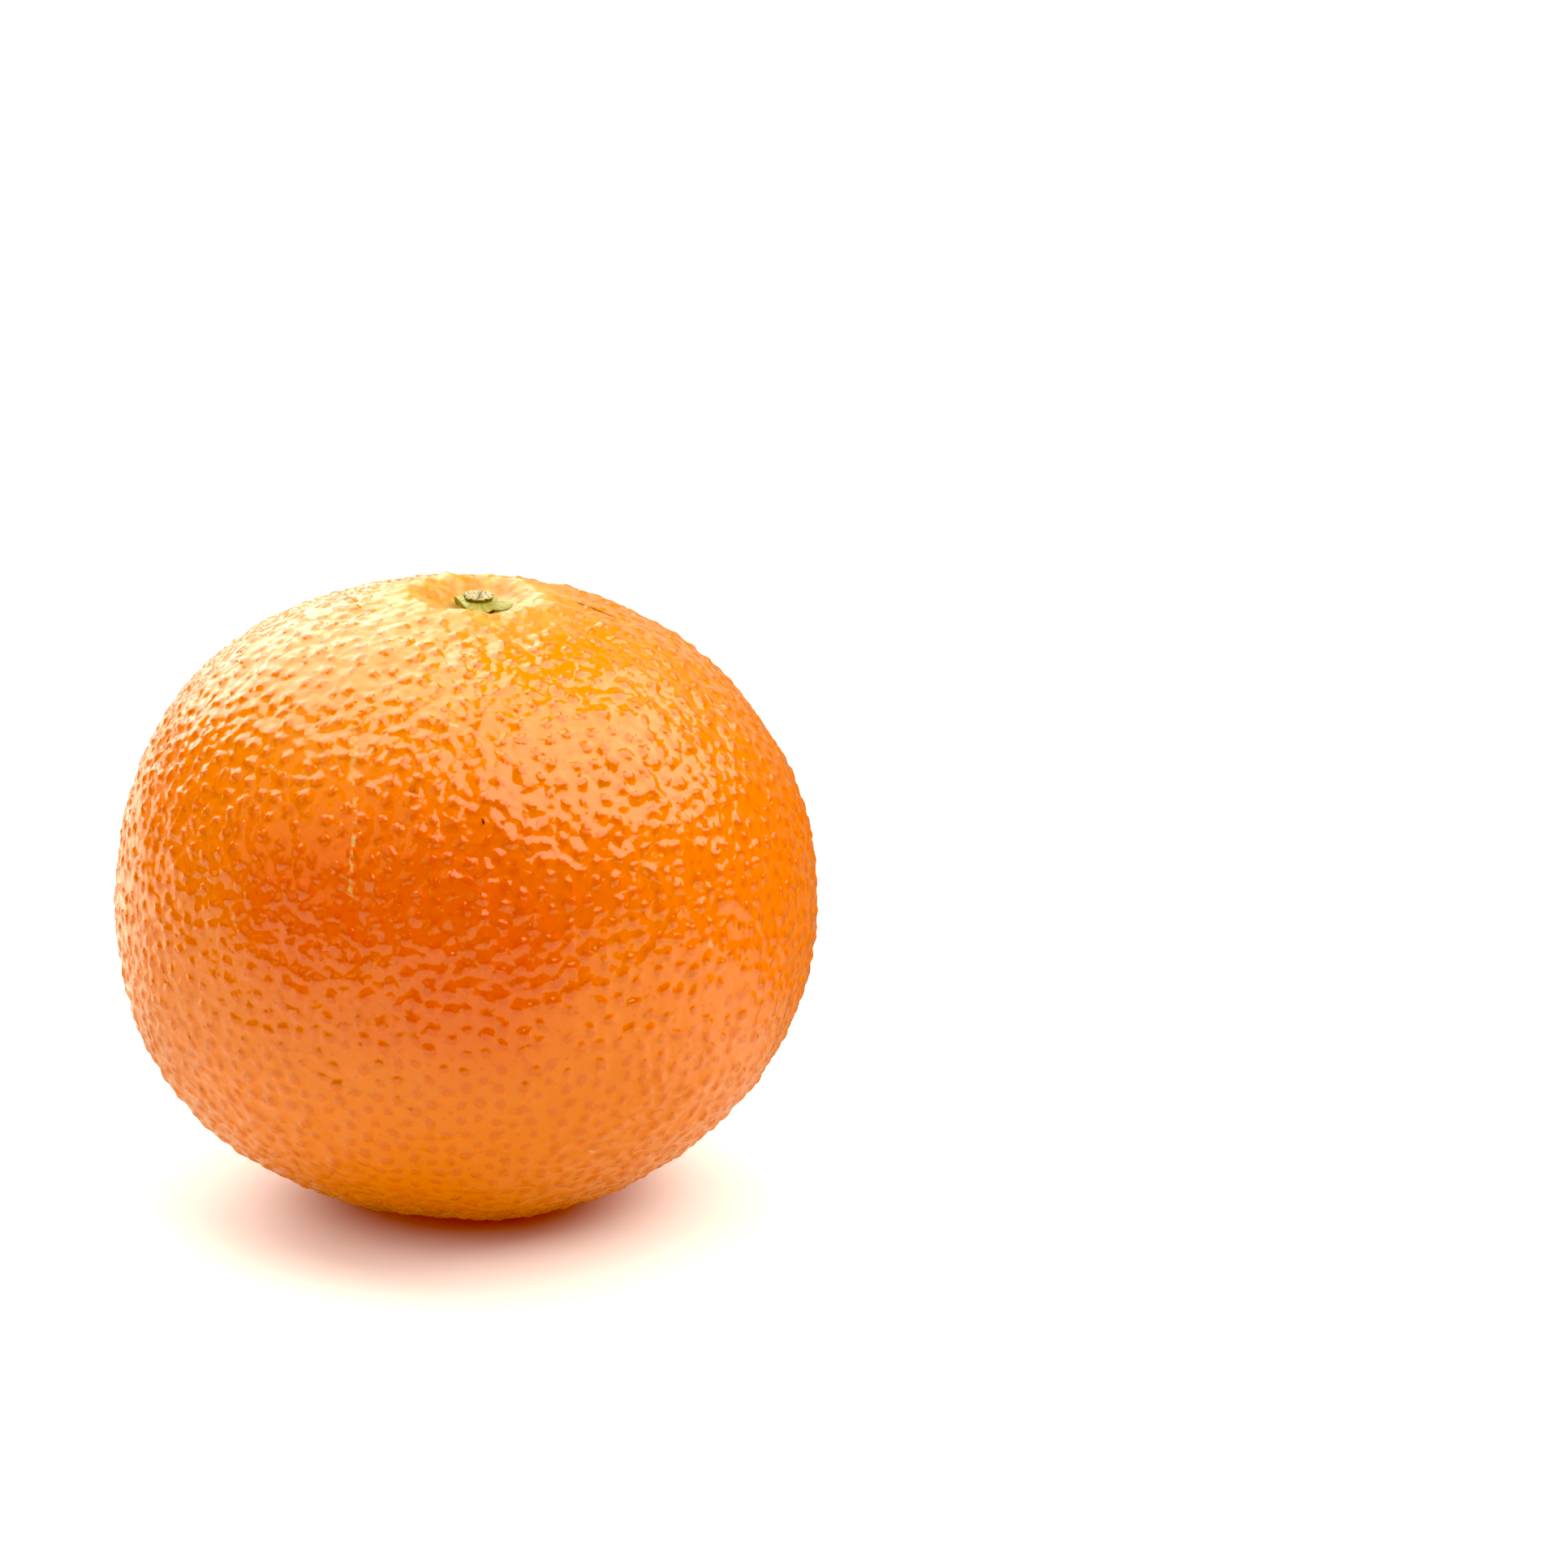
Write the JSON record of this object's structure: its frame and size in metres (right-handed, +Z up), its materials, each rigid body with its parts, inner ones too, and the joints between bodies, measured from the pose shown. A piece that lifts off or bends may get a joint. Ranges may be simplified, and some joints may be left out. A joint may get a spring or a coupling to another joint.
{
  "type": "clementine",
  "caption": "Whole round citrus fruit with pored orange peel, a sunken crown with a lobed calyx and a clipped stem stub, and a small flat spot it rests on.",
  "frame": {"origin": "on the ground, under the middle of the fruit's box, inside the flat foot", "axes": "+Z up through the crown, +X to the fruit's right and -Y to its front, the side that faces the viewer; the stem leans 1.9 degrees towards +X"},
  "size_m": [0.0618, 0.0606, 0.055],
  "materials": {
    "peel": "waxy, finely pitted with oil glands",
    "sepal": "dull, dry green with brown edges",
    "stalk": "rough cut wood, pale with brown flecks"
  },
  "bodies": {
    "root": {"fruit": "peel", "calyx": "sepal", "stem_stub": "stalk"}
  },
  "joints": []
}
